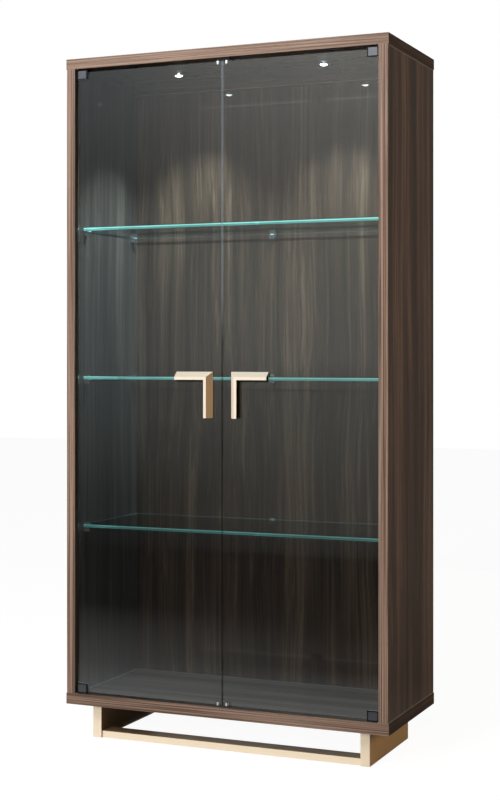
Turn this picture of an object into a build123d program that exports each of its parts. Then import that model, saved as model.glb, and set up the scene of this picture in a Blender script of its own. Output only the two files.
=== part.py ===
import os

from build123d import *

os.makedirs("parts", exist_ok=True)

# Glazed china cabinet, in millimetres.
# X runs across the front, minus Y faces the room, Z is up from the floor, X = 0 is the gap between the doors.
cabinet_width = 1000
cabinet_depth = 430
carcass_height = 1906
base_height = 103

# Boards
top_thickness = 30
bottom_thickness = 32
side_thickness = 27
side_overhang = 2
band_thickness = 2
back_thickness = 8
back_recess = 22
groove_depth = 8
groove_play = 0.2
rail_height = 23
rail_depth = 14
tenon_thickness = 8
tenon_width = 40
tenon_length = 40
tenon_end_inset = 70
fit_play = 0.05

# Glass shelves and their supports
shelf_thickness = 10
shelf_front_setback = 47
shelf_back_gap = 8
shelf_side_gap = 2.5
shelf_arris = 0.8
shelf_corner_radius = 4
upper_shelf_z = 1504
middle_shelf_z = 1062
lower_shelf_z = 621.5
support_width = 14
support_reach = 16
support_height = 12
support_wall = 3
support_plate = 2
support_tongue_width = 8
support_tongue_length = 7
support_tongue_thickness = 3
support_pad_width = 8
support_pad_thickness = 1.5
support_pad_reach = 12
support_lip_reach = 13
support_lip_thickness = 3
support_lip_play = 0.3
support_inset = 20

# Lamps let into the top
lamp_x = 233
lamp_can_radius = 15
lamp_can_wall = 2
lamp_can_height = 20
lamp_flange_radius = 18
lamp_flange_thickness = 2
lamp_opening_radius = 11
lamp_lens_thickness = 3

# Glass doors
glass_thickness = 6
glass_setback = 12
glass_side_gap = 4
glass_centre_gap = 3
glass_top_gap = 8.4
glass_bottom_gap = 4
glass_arris = 0.5

# Corner pivot hinges
pivot_inset = 2.5
pivot_ahead = 2.5
pivot_barrel_radius = 2.2
pivot_pin_radius = 1.5
pivot_pin_play = 0.06
pivot_pin_depth = 12
bush_radius = 2.3
bush_length = 11
bush_stand = 1
hinge_width = 34
hinge_height = 29
hinge_front_plate = 2
hinge_back_plate = 3.5
hinge_pad = 0.5
hinge_top_gap = 2.4
hinge_glass_play = 0.5
hinge_cover_width = 26.4
hinge_cover_height = 22.5
hinge_cover_thickness = 1
hinge_cover_shift = -0.1

# Folded corner handles
handle_top_z = 1087
handle_edge_x = 28.5
handle_across = 114.5
handle_down = 132
handle_sheet = 2
handle_projection = 17
handle_slope = 14.5
handle_front_flange = 8.5
handle_back_flange = 29
handle_screw_radius = 2
handle_screw_inset = 24
handle_screw_from_edge = 14.5
handle_screw_head_radius = 4
handle_screw_head_height = 3
handle_screw_end = 6
handle_glass_hole_radius = 3.5

# Magnetic catches and the strike clips on the glass
strike_x = 13.5
strike_width = 5
strike_length = 9
strike_sheet = 0.8
catch_width = 40
catch_depth = 14
catch_height = 15
magnet_width = 9
magnet_depth = 4
magnet_height = 9

# Base
leg_inset = 68
leg_thickness = 27
leg_depth = 350
leg_front_setback = 41
stretcher_height = 19.5
stretcher_depth = 54
stretcher_setback = 6
glide_width = 20
glide_length = 40
glide_height = 2
glide_inset = 35
leg_tenon_inset = 70

# Levels and planes that follow from the sizes
front_y = (max(handle_projection - glass_setback, 0) - cabinet_depth) / 2
back_y = front_y + cabinet_depth
board_depth = cabinet_depth - band_thickness
board_front_y = front_y + band_thickness
top_z = base_height + carcass_height
ceiling_z = top_z - top_thickness
floor_z = base_height + bottom_thickness
side_height = ceiling_z - floor_z
inner_half = cabinet_width / 2 - side_overhang - side_thickness
side_mid_x = inner_half + side_thickness / 2
back_face_y = back_y - back_recess - back_thickness
mid_y = (front_y + back_y) / 2
glass_front_y = front_y + glass_setback
glass_back_y = glass_front_y + glass_thickness
glass_mid_y = (glass_front_y + glass_back_y) / 2
glass_outer_x = -(inner_half - glass_side_gap)
glass_inner_x = -glass_centre_gap / 2
glass_top_z = ceiling_z - glass_top_gap
glass_bottom_z = floor_z + glass_bottom_gap
pivot_x = -(inner_half - pivot_inset)
pivot_y = glass_front_y - pivot_ahead
shelf_front_y = front_y + shelf_front_setback
shelf_back_y = back_face_y - shelf_back_gap
shelf_levels = (upper_shelf_z, middle_shelf_z, lower_shelf_z)
leg_outer_x = cabinet_width / 2 - leg_inset
leg_inner_x = leg_outer_x - leg_thickness
leg_mid_x = (leg_outer_x + leg_inner_x) / 2
leg_front_y = front_y + leg_front_setback
leg_back_y = leg_front_y + leg_depth
stretcher_front_y = leg_front_y + stretcher_setback
stretcher_mid_y = stretcher_front_y + stretcher_depth / 2
catch_front_y = glass_back_y + strike_sheet

ON_LOW_FACE = (Align.CENTER, Align.CENTER, Align.MIN)
ON_HIGH_FACE = (Align.CENTER, Align.CENTER, Align.MAX)
FROM_CORNER = (Align.MIN, Align.MIN, Align.MIN)

tenon_ys = (board_front_y + tenon_end_inset, mid_y, back_y - tenon_end_inset)
tenon_spots = [(x, y) for x in (-side_mid_x, side_mid_x) for y in tenon_ys]
pivot_spots = [(pivot_x, pivot_y), (-pivot_x, pivot_y)]
lamp_spots = [(-lamp_x, mid_y), (lamp_x, mid_y)]
leg_tenon_ys = (leg_front_y + leg_tenon_inset, leg_back_y - leg_tenon_inset)
leg_tenon_spots = [(x, y) for x in (-leg_mid_x, leg_mid_x) for y in leg_tenon_ys]
stretcher_mid_z = glide_height + stretcher_height / 2
support_front_y = shelf_front_y + support_inset
support_rear_y = shelf_back_y - support_inset - support_width / 2
support_tongue_drop = support_pad_thickness + support_height / 2
mortise_width = tenon_width + 2 * fit_play
mortise_thickness = tenon_thickness + 2 * fit_play
mortise_depth = tenon_length / 2 + fit_play

# Boards of the carcass. The top and bottom lie across the ends of the sides.
with BuildPart() as top_panel:
    with Locations((0, board_front_y + board_depth / 2, ceiling_z)):
        Box(cabinet_width, board_depth, top_thickness, align=ON_LOW_FACE)
    with Locations((0, back_face_y + back_thickness / 2, ceiling_z)):
        Box(
            2 * (inner_half + groove_depth),
            back_thickness + groove_play,
            groove_depth,
            align=ON_LOW_FACE,
            mode=Mode.SUBTRACT,
        )
    with Locations([(x, y, ceiling_z) for x, y in tenon_spots]):
        Box(
            mortise_thickness,
            mortise_width,
            mortise_depth,
            align=ON_LOW_FACE,
            mode=Mode.SUBTRACT,
        )
    with Locations([(x, y, ceiling_z) for x, y in lamp_spots]):
        Cylinder(
            lamp_can_radius + fit_play,
            lamp_can_height,
            align=ON_LOW_FACE,
            mode=Mode.SUBTRACT,
        )
    with Locations([(x, y, ceiling_z) for x, y in pivot_spots]):
        Cylinder(
            bush_radius + fit_play,
            bush_length - bush_stand,
            align=ON_LOW_FACE,
            mode=Mode.SUBTRACT,
        )

with BuildPart() as bottom_panel:
    with Locations((0, board_front_y + board_depth / 2, base_height)):
        Box(cabinet_width, board_depth, bottom_thickness, align=ON_LOW_FACE)
    with Locations((0, back_face_y + back_thickness / 2, floor_z)):
        Box(
            2 * (inner_half + groove_depth),
            back_thickness + groove_play,
            groove_depth,
            align=ON_HIGH_FACE,
            mode=Mode.SUBTRACT,
        )
    with Locations([(x, y, floor_z) for x, y in tenon_spots]):
        Box(
            mortise_thickness,
            mortise_width,
            mortise_depth,
            align=ON_HIGH_FACE,
            mode=Mode.SUBTRACT,
        )
    with Locations([(x, y, floor_z) for x, y in pivot_spots]):
        Hole(bush_radius + fit_play, bush_length - bush_stand)
    with Locations([(x, y, base_height) for x, y in leg_tenon_spots]):
        Box(
            mortise_thickness,
            mortise_width,
            mortise_depth,
            align=ON_LOW_FACE,
            mode=Mode.SUBTRACT,
        )

with BuildPart() as left_side_panel:
    with Locations((-side_mid_x, board_front_y + board_depth / 2, floor_z)):
        Box(side_thickness, board_depth, side_height, align=ON_LOW_FACE)
    with Locations((-inner_half, back_face_y + back_thickness / 2, floor_z)):
        Box(
            groove_depth,
            back_thickness + groove_play,
            side_height,
            align=(Align.MAX, Align.CENTER, Align.MIN),
            mode=Mode.SUBTRACT,
        )
    with Locations([(-side_mid_x, y, z) for y in tenon_ys for z in (floor_z, ceiling_z)]):
        Box(mortise_thickness, mortise_width, 2 * mortise_depth, mode=Mode.SUBTRACT)
    with Locations(
        [
            (-inner_half, y, level - support_tongue_drop)
            for level in shelf_levels
            for y in (support_front_y, support_rear_y)
        ]
    ):
        Box(
            support_tongue_length + fit_play,
            support_tongue_width + 2 * fit_play,
            support_tongue_thickness + 2 * fit_play,
            align=(Align.MAX, Align.CENTER, Align.CENTER),
            mode=Mode.SUBTRACT,
        )

with BuildPart() as right_side_panel:
    mirror(left_side_panel.part, about=Plane.YZ)

with BuildPart() as back_panel:
    with Locations((0, back_face_y, floor_z - groove_depth)):
        Box(
            2 * (inner_half + groove_depth - groove_play),
            back_thickness,
            side_height + 2 * groove_depth - groove_play,
            align=(Align.CENTER, Align.MIN, Align.MIN),
        )
    with Locations([(0, back_face_y, level - support_tongue_drop) for level in shelf_levels]):
        Box(
            support_tongue_width + 2 * fit_play,
            support_tongue_length + fit_play,
            support_tongue_thickness + 2 * fit_play,
            align=(Align.CENTER, Align.MIN, Align.CENTER),
            mode=Mode.SUBTRACT,
        )

with BuildPart() as rear_top_rail:
    with Locations((0, back_face_y, ceiling_z)):
        Box(2 * inner_half, rail_depth, rail_height, align=(Align.CENTER, Align.MAX, Align.MAX))

with BuildPart() as panel_tenons:
    with Locations([(x, y, z) for x, y in tenon_spots for z in (floor_z, ceiling_z)]):
        Box(tenon_thickness, tenon_width, tenon_length)

# Edge bands on the front of the four boards
with BuildPart() as top_front_band:
    with Locations((0, front_y, ceiling_z)):
        Box(cabinet_width, band_thickness, top_thickness, align=(Align.CENTER, Align.MIN, Align.MIN))

with BuildPart() as bottom_front_band:
    with Locations((0, front_y, base_height)):
        Box(cabinet_width, band_thickness, bottom_thickness, align=(Align.CENTER, Align.MIN, Align.MIN))

with BuildPart() as left_front_band:
    with Locations((-side_mid_x, front_y, floor_z)):
        Box(side_thickness, band_thickness, side_height, align=(Align.CENTER, Align.MIN, Align.MIN))

with BuildPart() as right_front_band:
    mirror(left_front_band.part, about=Plane.YZ)

# Glass shelves with ground arrises, on five supports each
with BuildPart() as upper_shelf:
    with BuildSketch(Plane.XY.offset(upper_shelf_z)):
        with Locations((0, (shelf_front_y + shelf_back_y) / 2)):
            RectangleRounded(
                2 * (inner_half - shelf_side_gap),
                shelf_back_y - shelf_front_y,
                shelf_corner_radius,
            )
    extrude(amount=shelf_thickness)
    chamfer(faces().sort_by(Axis.Z)[-1].edges() + faces().sort_by(Axis.Z)[0].edges(), shelf_arris)

with BuildPart() as middle_shelf:
    with Locations((0, 0, middle_shelf_z - upper_shelf_z)):
        add(upper_shelf.part)

with BuildPart() as lower_shelf:
    with Locations((0, 0, lower_shelf_z - upper_shelf_z)):
        add(upper_shelf.part)

# One support: a bridge bracket that reaches along minus Y from the board behind it, with a tongue in that board.
# Its back plate runs up past the end of the shelf to a lip over the glass.
support_lip_z = support_pad_thickness + shelf_thickness + support_lip_play
with BuildPart() as shelf_support:
    Box(support_width, support_reach, support_height, align=(Align.CENTER, Align.MAX, Align.MAX))
    with Locations((0, -support_plate, -support_height)):
        Box(
            support_width - 2 * support_wall,
            support_reach - support_plate,
            support_height - support_wall,
            align=(Align.CENTER, Align.MAX, Align.MIN),
            mode=Mode.SUBTRACT,
        )
    with Locations((0, 0, -support_height / 2)):
        Box(
            support_tongue_width,
            support_tongue_length,
            support_tongue_thickness,
            align=(Align.CENTER, Align.MIN, Align.CENTER),
        )
    with Locations((0, 0, -support_wall)):
        Box(
            support_width,
            support_plate,
            support_wall + support_lip_z + support_lip_thickness,
            align=(Align.CENTER, Align.MAX, Align.MIN),
        )
    with Locations((0, 0, support_lip_z)):
        Box(
            support_width,
            support_lip_reach,
            support_lip_thickness,
            align=(Align.CENTER, Align.MAX, Align.MIN),
        )

support_spots = [
    Location((-inner_half, support_front_y, 0), (0, 0, 90)),
    Location((-inner_half, support_rear_y, 0), (0, 0, 90)),
    Location((inner_half, support_front_y, 0), (0, 0, -90)),
    Location((inner_half, support_rear_y, 0), (0, 0, -90)),
    Location((0, back_face_y, 0)),
]

with BuildPart() as shelf_supports:
    for level in shelf_levels:
        with Locations(Location((0, 0, level - support_pad_thickness))):
            with Locations(support_spots):
                add(shelf_support.part)

with BuildPart() as shelf_pads:
    for level in shelf_levels:
        with Locations(Location((0, 0, level))):
            with Locations(support_spots):
                with Locations((0, -support_pad_reach, 0)):
                    Box(support_pad_width, support_pad_width, support_pad_thickness, align=ON_HIGH_FACE)

# Lamps in the underside of the top: a turned body with a flange, and a lens set in its mouth
lamp_axis = Axis((-lamp_x, mid_y, ceiling_z), (0, 0, 1))
lamp_profile = Plane(origin=lamp_axis.position, x_dir=(1, 0, 0), z_dir=(0, -1, 0))
with BuildPart() as left_lamp_body:
    with BuildSketch(lamp_profile):
        with BuildLine():
            Polyline(
                (lamp_opening_radius, -lamp_flange_thickness),
                (lamp_flange_radius, -lamp_flange_thickness),
                (lamp_flange_radius, 0),
                (lamp_can_radius, 0),
                (lamp_can_radius, lamp_can_height),
                (0, lamp_can_height),
                (0, lamp_can_height - lamp_can_wall),
                (lamp_opening_radius, lamp_can_height - lamp_can_wall),
                close=True,
            )
        make_face()
    revolve(axis=lamp_axis)

with BuildPart() as left_lamp_lens:
    with Locations((-lamp_x, mid_y, ceiling_z - lamp_flange_thickness)):
        Cylinder(lamp_opening_radius - fit_play, lamp_lens_thickness, align=ON_LOW_FACE)

with BuildPart() as right_lamp_body:
    mirror(left_lamp_body.part, about=Plane.YZ)

with BuildPart() as right_lamp_lens:
    mirror(left_lamp_lens.part, about=Plane.YZ)

# Magnetic catches behind the meeting edges of the doors, one under the top and one on the floor
with BuildPart() as top_catch_body:
    with Locations((0, catch_front_y, ceiling_z)):
        Box(catch_width, catch_depth, catch_height, align=(Align.CENTER, Align.MIN, Align.MAX))
    with Locations([(x, catch_front_y, glass_top_z) for x in (-strike_x, strike_x)]):
        Box(
            magnet_width,
            magnet_depth,
            magnet_height,
            align=(Align.CENTER, Align.MIN, Align.MAX),
            mode=Mode.SUBTRACT,
        )

with BuildPart() as bottom_catch_body:
    with Locations((0, catch_front_y, floor_z)):
        Box(catch_width, catch_depth, catch_height, align=(Align.CENTER, Align.MIN, Align.MIN))
    with Locations([(x, catch_front_y, glass_bottom_z) for x in (-strike_x, strike_x)]):
        Box(
            magnet_width,
            magnet_depth,
            magnet_height,
            align=(Align.CENTER, Align.MIN, Align.MIN),
            mode=Mode.SUBTRACT,
        )

with BuildPart() as catch_magnets:
    with Locations([(x, catch_front_y, glass_top_z) for x in (-strike_x, strike_x)]):
        Box(magnet_width, magnet_depth, magnet_height, align=(Align.CENTER, Align.MIN, Align.MAX))
    with Locations([(x, catch_front_y, glass_bottom_z) for x in (-strike_x, strike_x)]):
        Box(magnet_width, magnet_depth, magnet_height, align=(Align.CENTER, Align.MIN, Align.MIN))

# Bushes for the door pivots. Each stands a little proud, so the door turns on its end.
with BuildPart() as hinge_bushes:
    with Locations([(x, y, ceiling_z - bush_stand) for x, y in pivot_spots]):
        Cylinder(bush_radius, bush_length, align=ON_LOW_FACE)
        Cylinder(
            pivot_pin_radius + pivot_pin_play,
            bush_length,
            align=ON_LOW_FACE,
            mode=Mode.SUBTRACT,
        )
    with Locations([(x, y, floor_z + bush_stand) for x, y in pivot_spots]):
        Cylinder(bush_radius, bush_length, align=ON_HIGH_FACE)
        Cylinder(
            pivot_pin_radius + pivot_pin_play,
            bush_length,
            align=ON_HIGH_FACE,
            mode=Mode.SUBTRACT,
        )

# Left door
hinge_top_z = ceiling_z - hinge_top_gap
hinge_bottom_z = floor_z + bush_stand
hinge_front_y = glass_front_y - hinge_pad - hinge_front_plate
hinge_depth = hinge_front_plate + glass_thickness + 2 * hinge_pad + hinge_back_plate
hinge_slot_y = glass_front_y - hinge_pad
hinge_slot_depth = glass_thickness + 2 * hinge_pad
top_slot_z = glass_top_z + hinge_glass_play
bottom_slot_z = glass_bottom_z - hinge_glass_play
top_plate_z = hinge_top_z - hinge_height
bottom_plate_z = hinge_bottom_z + hinge_height
handle_corner_x = -handle_edge_x
handle_end_x = handle_corner_x - handle_across
handle_foot_z = handle_top_z - handle_down
handle_screw_spots = [
    (handle_end_x + handle_screw_inset, handle_top_z - handle_screw_from_edge),
    (handle_corner_x - handle_screw_from_edge, handle_foot_z + handle_screw_inset),
]

with BuildPart() as left_door_glass:
    with Locations((glass_outer_x, glass_front_y, glass_bottom_z)):
        Box(
            glass_inner_x - glass_outer_x,
            glass_thickness,
            glass_top_z - glass_bottom_z,
            align=FROM_CORNER,
        )
    chamfer(faces().sort_by(Axis.Y)[0].edges() + faces().sort_by(Axis.Y)[-1].edges(), glass_arris)
    with Locations([Location((x, glass_front_y, z), (90, 0, 0)) for x, z in handle_screw_spots]):
        Hole(handle_glass_hole_radius, glass_thickness)

with BuildPart() as left_top_hinge_clamp:
    with Locations((pivot_x, hinge_front_y, top_plate_z)):
        Box(hinge_width, hinge_depth, hinge_height, align=FROM_CORNER)
    with Locations((pivot_x, hinge_slot_y, top_plate_z)):
        Box(
            hinge_width,
            hinge_slot_depth,
            top_slot_z - top_plate_z,
            align=FROM_CORNER,
            mode=Mode.SUBTRACT,
        )
    with Locations((pivot_x, pivot_y, top_plate_z)):
        Cylinder(pivot_barrel_radius, hinge_height, align=ON_LOW_FACE)
    with Locations((pivot_x, pivot_y, hinge_top_z)):
        Hole(pivot_pin_radius + fit_play, pivot_pin_depth)

with BuildPart() as left_bottom_hinge_clamp:
    with Locations((pivot_x, hinge_front_y, hinge_bottom_z)):
        Box(hinge_width, hinge_depth, hinge_height, align=FROM_CORNER)
    with Locations((pivot_x, hinge_slot_y, bottom_slot_z)):
        Box(
            hinge_width,
            hinge_slot_depth,
            bottom_plate_z - bottom_slot_z,
            align=FROM_CORNER,
            mode=Mode.SUBTRACT,
        )
    with Locations((pivot_x, pivot_y, hinge_bottom_z)):
        Cylinder(pivot_barrel_radius, hinge_height, align=ON_LOW_FACE)
        Cylinder(
            pivot_pin_radius + fit_play,
            pivot_pin_depth,
            align=ON_LOW_FACE,
            mode=Mode.SUBTRACT,
        )

with BuildPart() as left_hinge_covers:
    with Locations(
        [
            (pivot_x + hinge_width / 2 + hinge_cover_shift, hinge_front_y, z)
            for z in (top_plate_z + hinge_height / 2, hinge_bottom_z + hinge_height / 2)
        ]
    ):
        Box(
            hinge_cover_width,
            hinge_cover_thickness,
            hinge_cover_height,
            align=(Align.CENTER, Align.MAX, Align.CENTER),
        )

with BuildPart() as left_hinge_pins:
    with Locations((pivot_x, pivot_y, hinge_top_z - pivot_pin_depth)):
        Cylinder(
            pivot_pin_radius,
            pivot_pin_depth + hinge_top_gap + bush_length - 2 * bush_stand,
            align=ON_LOW_FACE,
        )
    with Locations((pivot_x, pivot_y, hinge_bottom_z + pivot_pin_depth)):
        Cylinder(pivot_pin_radius, pivot_pin_depth + bush_length - bush_stand, align=ON_HIGH_FACE)

with BuildPart() as left_hinge_pads:
    with Locations([(glass_outer_x, y, top_plate_z) for y in (hinge_slot_y, glass_back_y)]):
        Box(
            pivot_x + hinge_width - glass_outer_x,
            hinge_pad,
            glass_top_z - top_plate_z,
            align=FROM_CORNER,
        )
    with Locations([(glass_outer_x, y, glass_bottom_z) for y in (hinge_slot_y, glass_back_y)]):
        Box(
            pivot_x + hinge_width - glass_outer_x,
            hinge_pad,
            bottom_plate_z - glass_bottom_z,
            align=FROM_CORNER,
        )

# The handle is one folded section carried round a mitred corner: back flange, sloped web and front flange.
web_run = handle_slope / handle_projection
web_offset = handle_sheet * (1 + web_run**2) ** 0.5
with BuildPart() as left_handle:
    with BuildLine() as handle_path:
        Polyline(
            (handle_end_x, glass_front_y, handle_top_z),
            (handle_corner_x, glass_front_y, handle_top_z),
            (handle_corner_x, glass_front_y, handle_foot_z),
        )
    handle_start = Plane(
        origin=(handle_end_x, glass_front_y, handle_top_z),
        x_dir=(0, 0, -1),
        z_dir=(1, 0, 0),
    )
    with BuildSketch(handle_start) as handle_section:
        with BuildLine():
            Polyline(
                (0, 0),
                (handle_back_flange, 0),
                (handle_back_flange, -handle_sheet),
                (web_offset + web_run * handle_sheet, -handle_sheet),
                (web_offset + web_run * (handle_projection - handle_sheet), handle_sheet - handle_projection),
                (handle_slope + handle_front_flange, handle_sheet - handle_projection),
                (handle_slope + handle_front_flange, -handle_projection),
                (handle_slope, -handle_projection),
                close=True,
            )
        make_face()
    sweep(path=handle_path.line, transition=Transition.RIGHT)
    with Locations([Location((x, glass_front_y, z), (-90, 0, 0)) for x, z in handle_screw_spots]):
        Cylinder(
            handle_screw_radius + fit_play,
            2 * handle_sheet,
            mode=Mode.SUBTRACT,
        )

with BuildPart() as left_handle_screws:
    with Locations([Location((x, glass_back_y, z), (-90, 0, 0)) for x, z in handle_screw_spots]):
        Cylinder(handle_screw_head_radius, handle_screw_head_height, align=ON_LOW_FACE)
        Cylinder(
            handle_screw_radius,
            glass_thickness + handle_sheet + handle_screw_end,
            align=ON_HIGH_FACE,
        )

with BuildPart() as left_strike_clips:
    with Locations((-strike_x, glass_mid_y, glass_top_z + strike_sheet)):
        Box(strike_width, glass_thickness + 2 * strike_sheet, strike_length, align=ON_HIGH_FACE)
    with Locations((-strike_x, glass_mid_y, glass_top_z)):
        Box(strike_width, glass_thickness, strike_length, align=ON_HIGH_FACE, mode=Mode.SUBTRACT)
    with Locations((-strike_x, glass_mid_y, glass_bottom_z - strike_sheet)):
        Box(strike_width, glass_thickness + 2 * strike_sheet, strike_length, align=ON_LOW_FACE)
    with Locations((-strike_x, glass_mid_y, glass_bottom_z)):
        Box(strike_width, glass_thickness, strike_length, align=ON_LOW_FACE, mode=Mode.SUBTRACT)

# Right door, the mirror image of the left
with BuildPart() as right_door_glass:
    mirror(left_door_glass.part, about=Plane.YZ)

with BuildPart() as right_top_hinge_clamp:
    mirror(left_top_hinge_clamp.part, about=Plane.YZ)

with BuildPart() as right_bottom_hinge_clamp:
    mirror(left_bottom_hinge_clamp.part, about=Plane.YZ)

with BuildPart() as right_hinge_covers:
    mirror(left_hinge_covers.part, about=Plane.YZ)

with BuildPart() as right_hinge_pins:
    mirror(left_hinge_pins.part, about=Plane.YZ)

with BuildPart() as right_hinge_pads:
    mirror(left_hinge_pads.part, about=Plane.YZ)

with BuildPart() as right_handle:
    mirror(left_handle.part, about=Plane.YZ)

with BuildPart() as right_handle_screws:
    mirror(left_handle_screws.part, about=Plane.YZ)

with BuildPart() as right_strike_clips:
    mirror(left_strike_clips.part, about=Plane.YZ)

# Base: two slab legs joined near the front by a low stretcher
with BuildPart() as left_base_leg:
    with Locations((-leg_mid_x, leg_front_y, glide_height)):
        Box(
            leg_thickness,
            leg_depth,
            base_height - glide_height,
            align=(Align.CENTER, Align.MIN, Align.MIN),
        )
    with Locations([(-leg_mid_x, y, base_height) for y in leg_tenon_ys]):
        Box(
            mortise_thickness,
            mortise_width,
            mortise_depth,
            align=ON_HIGH_FACE,
            mode=Mode.SUBTRACT,
        )
    with Locations((-leg_inner_x, stretcher_mid_y, stretcher_mid_z)):
        Box(
            mortise_depth,
            mortise_width,
            mortise_thickness,
            align=(Align.MAX, Align.CENTER, Align.CENTER),
            mode=Mode.SUBTRACT,
        )

with BuildPart() as right_base_leg:
    mirror(left_base_leg.part, about=Plane.YZ)

with BuildPart() as base_stretcher:
    with Locations((0, stretcher_mid_y, glide_height)):
        Box(2 * leg_inner_x, stretcher_depth, stretcher_height, align=ON_LOW_FACE)
    with Locations([(x, stretcher_mid_y, stretcher_mid_z) for x in (-leg_inner_x, leg_inner_x)]):
        Box(2 * mortise_depth, mortise_width, mortise_thickness, mode=Mode.SUBTRACT)

with BuildPart() as leg_tenons:
    with Locations([(x, y, base_height) for x, y in leg_tenon_spots]):
        Box(tenon_thickness, tenon_width, tenon_length)

with BuildPart() as stretcher_tenons:
    with Locations([(x, stretcher_mid_y, stretcher_mid_z) for x in (-leg_inner_x, leg_inner_x)]):
        Box(tenon_length, tenon_width, tenon_thickness)

with BuildPart() as floor_glides:
    with Locations(
        [
            (x, y, 0)
            for x in (-leg_mid_x, leg_mid_x)
            for y in (leg_front_y + glide_inset, leg_back_y - glide_inset)
        ]
    ):
        Box(glide_width, glide_length, glide_height, align=ON_LOW_FACE)

nodes = {
    "top_panel": top_panel,
    "bottom_panel": bottom_panel,
    "left_side_panel": left_side_panel,
    "right_side_panel": right_side_panel,
    "back_panel": back_panel,
    "rear_top_rail": rear_top_rail,
    "panel_tenons": panel_tenons,
    "top_front_band": top_front_band,
    "bottom_front_band": bottom_front_band,
    "left_front_band": left_front_band,
    "right_front_band": right_front_band,
    "upper_shelf": upper_shelf,
    "middle_shelf": middle_shelf,
    "lower_shelf": lower_shelf,
    "shelf_supports": shelf_supports,
    "shelf_pads": shelf_pads,
    "left_lamp_body": left_lamp_body,
    "left_lamp_lens": left_lamp_lens,
    "right_lamp_body": right_lamp_body,
    "right_lamp_lens": right_lamp_lens,
    "top_catch_body": top_catch_body,
    "bottom_catch_body": bottom_catch_body,
    "catch_magnets": catch_magnets,
    "hinge_bushes": hinge_bushes,
    "left_door_glass": left_door_glass,
    "left_top_hinge_clamp": left_top_hinge_clamp,
    "left_bottom_hinge_clamp": left_bottom_hinge_clamp,
    "left_hinge_covers": left_hinge_covers,
    "left_hinge_pins": left_hinge_pins,
    "left_hinge_pads": left_hinge_pads,
    "left_handle": left_handle,
    "left_handle_screws": left_handle_screws,
    "left_strike_clips": left_strike_clips,
    "right_door_glass": right_door_glass,
    "right_top_hinge_clamp": right_top_hinge_clamp,
    "right_bottom_hinge_clamp": right_bottom_hinge_clamp,
    "right_hinge_covers": right_hinge_covers,
    "right_hinge_pins": right_hinge_pins,
    "right_hinge_pads": right_hinge_pads,
    "right_handle": right_handle,
    "right_handle_screws": right_handle_screws,
    "right_strike_clips": right_strike_clips,
    "left_base_leg": left_base_leg,
    "right_base_leg": right_base_leg,
    "base_stretcher": base_stretcher,
    "leg_tenons": leg_tenons,
    "stretcher_tenons": stretcher_tenons,
    "floor_glides": floor_glides,
}
for name, node in nodes.items():
    node.part.label = name
    export_step(node.part, f"parts/{name}.step")
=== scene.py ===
"""China cabinet with glass doors: finishes, small fittings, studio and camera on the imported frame."""

import logging
from dataclasses import dataclass
from enum import Enum
from math import pi, radians
from typing import ClassVar

import bpy
import numpy as np
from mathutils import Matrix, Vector


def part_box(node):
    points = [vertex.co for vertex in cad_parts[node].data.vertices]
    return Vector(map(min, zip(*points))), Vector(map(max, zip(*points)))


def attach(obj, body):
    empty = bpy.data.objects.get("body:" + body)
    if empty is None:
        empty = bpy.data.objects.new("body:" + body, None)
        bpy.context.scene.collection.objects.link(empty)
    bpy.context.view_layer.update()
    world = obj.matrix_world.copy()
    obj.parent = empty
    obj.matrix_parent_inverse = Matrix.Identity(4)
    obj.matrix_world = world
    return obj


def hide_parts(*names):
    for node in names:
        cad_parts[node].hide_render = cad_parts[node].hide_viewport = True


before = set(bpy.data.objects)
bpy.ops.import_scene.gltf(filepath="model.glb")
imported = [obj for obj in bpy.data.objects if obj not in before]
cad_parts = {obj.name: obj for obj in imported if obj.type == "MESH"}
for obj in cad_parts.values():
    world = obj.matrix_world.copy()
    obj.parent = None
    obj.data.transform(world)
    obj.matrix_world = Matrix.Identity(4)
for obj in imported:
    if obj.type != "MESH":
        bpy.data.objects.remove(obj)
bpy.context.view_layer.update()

log = logging.getLogger("china_cabinet")

Colour = tuple[float, float, float]
Point = tuple[float, float, float]
Pair = tuple[float, float]
Stop = tuple[float, Colour]
Ends = tuple[object, object]
Inputs = dict[str | int, object]
Labels = tuple[str, ...]
Socket = bpy.types.NodeSocket
Sockets = bpy.types.NodeOutputs
Node = bpy.types.Node
Tree = bpy.types.NodeTree
Material = bpy.types.Material
Thing = bpy.types.Object

WHITE = (1.0, 1.0, 1.0)
BLACK = (0.0, 0.0, 0.0)
ORIGIN = (0.0, 0.0, 0.0)


class GrainAxis(Enum):
    """The axis of the cabinet that fibres or brushing run along, as the turn that brings it to Z."""

    ACROSS = (0.0, -pi / 2, 0.0)
    DEEP = (pi / 2, 0.0, 0.0)
    UP = (0.0, 0.0, 0.0)


class Side(Enum):
    """A side of the cabinet, with the sign of its X."""

    LEFT = -1
    RIGHT = 1

    @property
    def word(self) -> str:
        """The side's name as the nodes spell it."""
        return self.name.lower()


class Drive(Enum):
    """The recess of a screw head."""

    HEX = "hex"
    CROSS = "cross"


class Texture(Enum):
    """A fine texture, by the name of its shared noise."""

    LINES = "lines"
    SPECKLE = "speckle"


# Shader trees

# The least part of a normal along an axis on a face that looks that way.
FACING = 0.6
# The glass faces behind a ray where light starts to dim and is dim: the door alone has two.
PANE_FACES = (2.4, 3.4)


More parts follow.
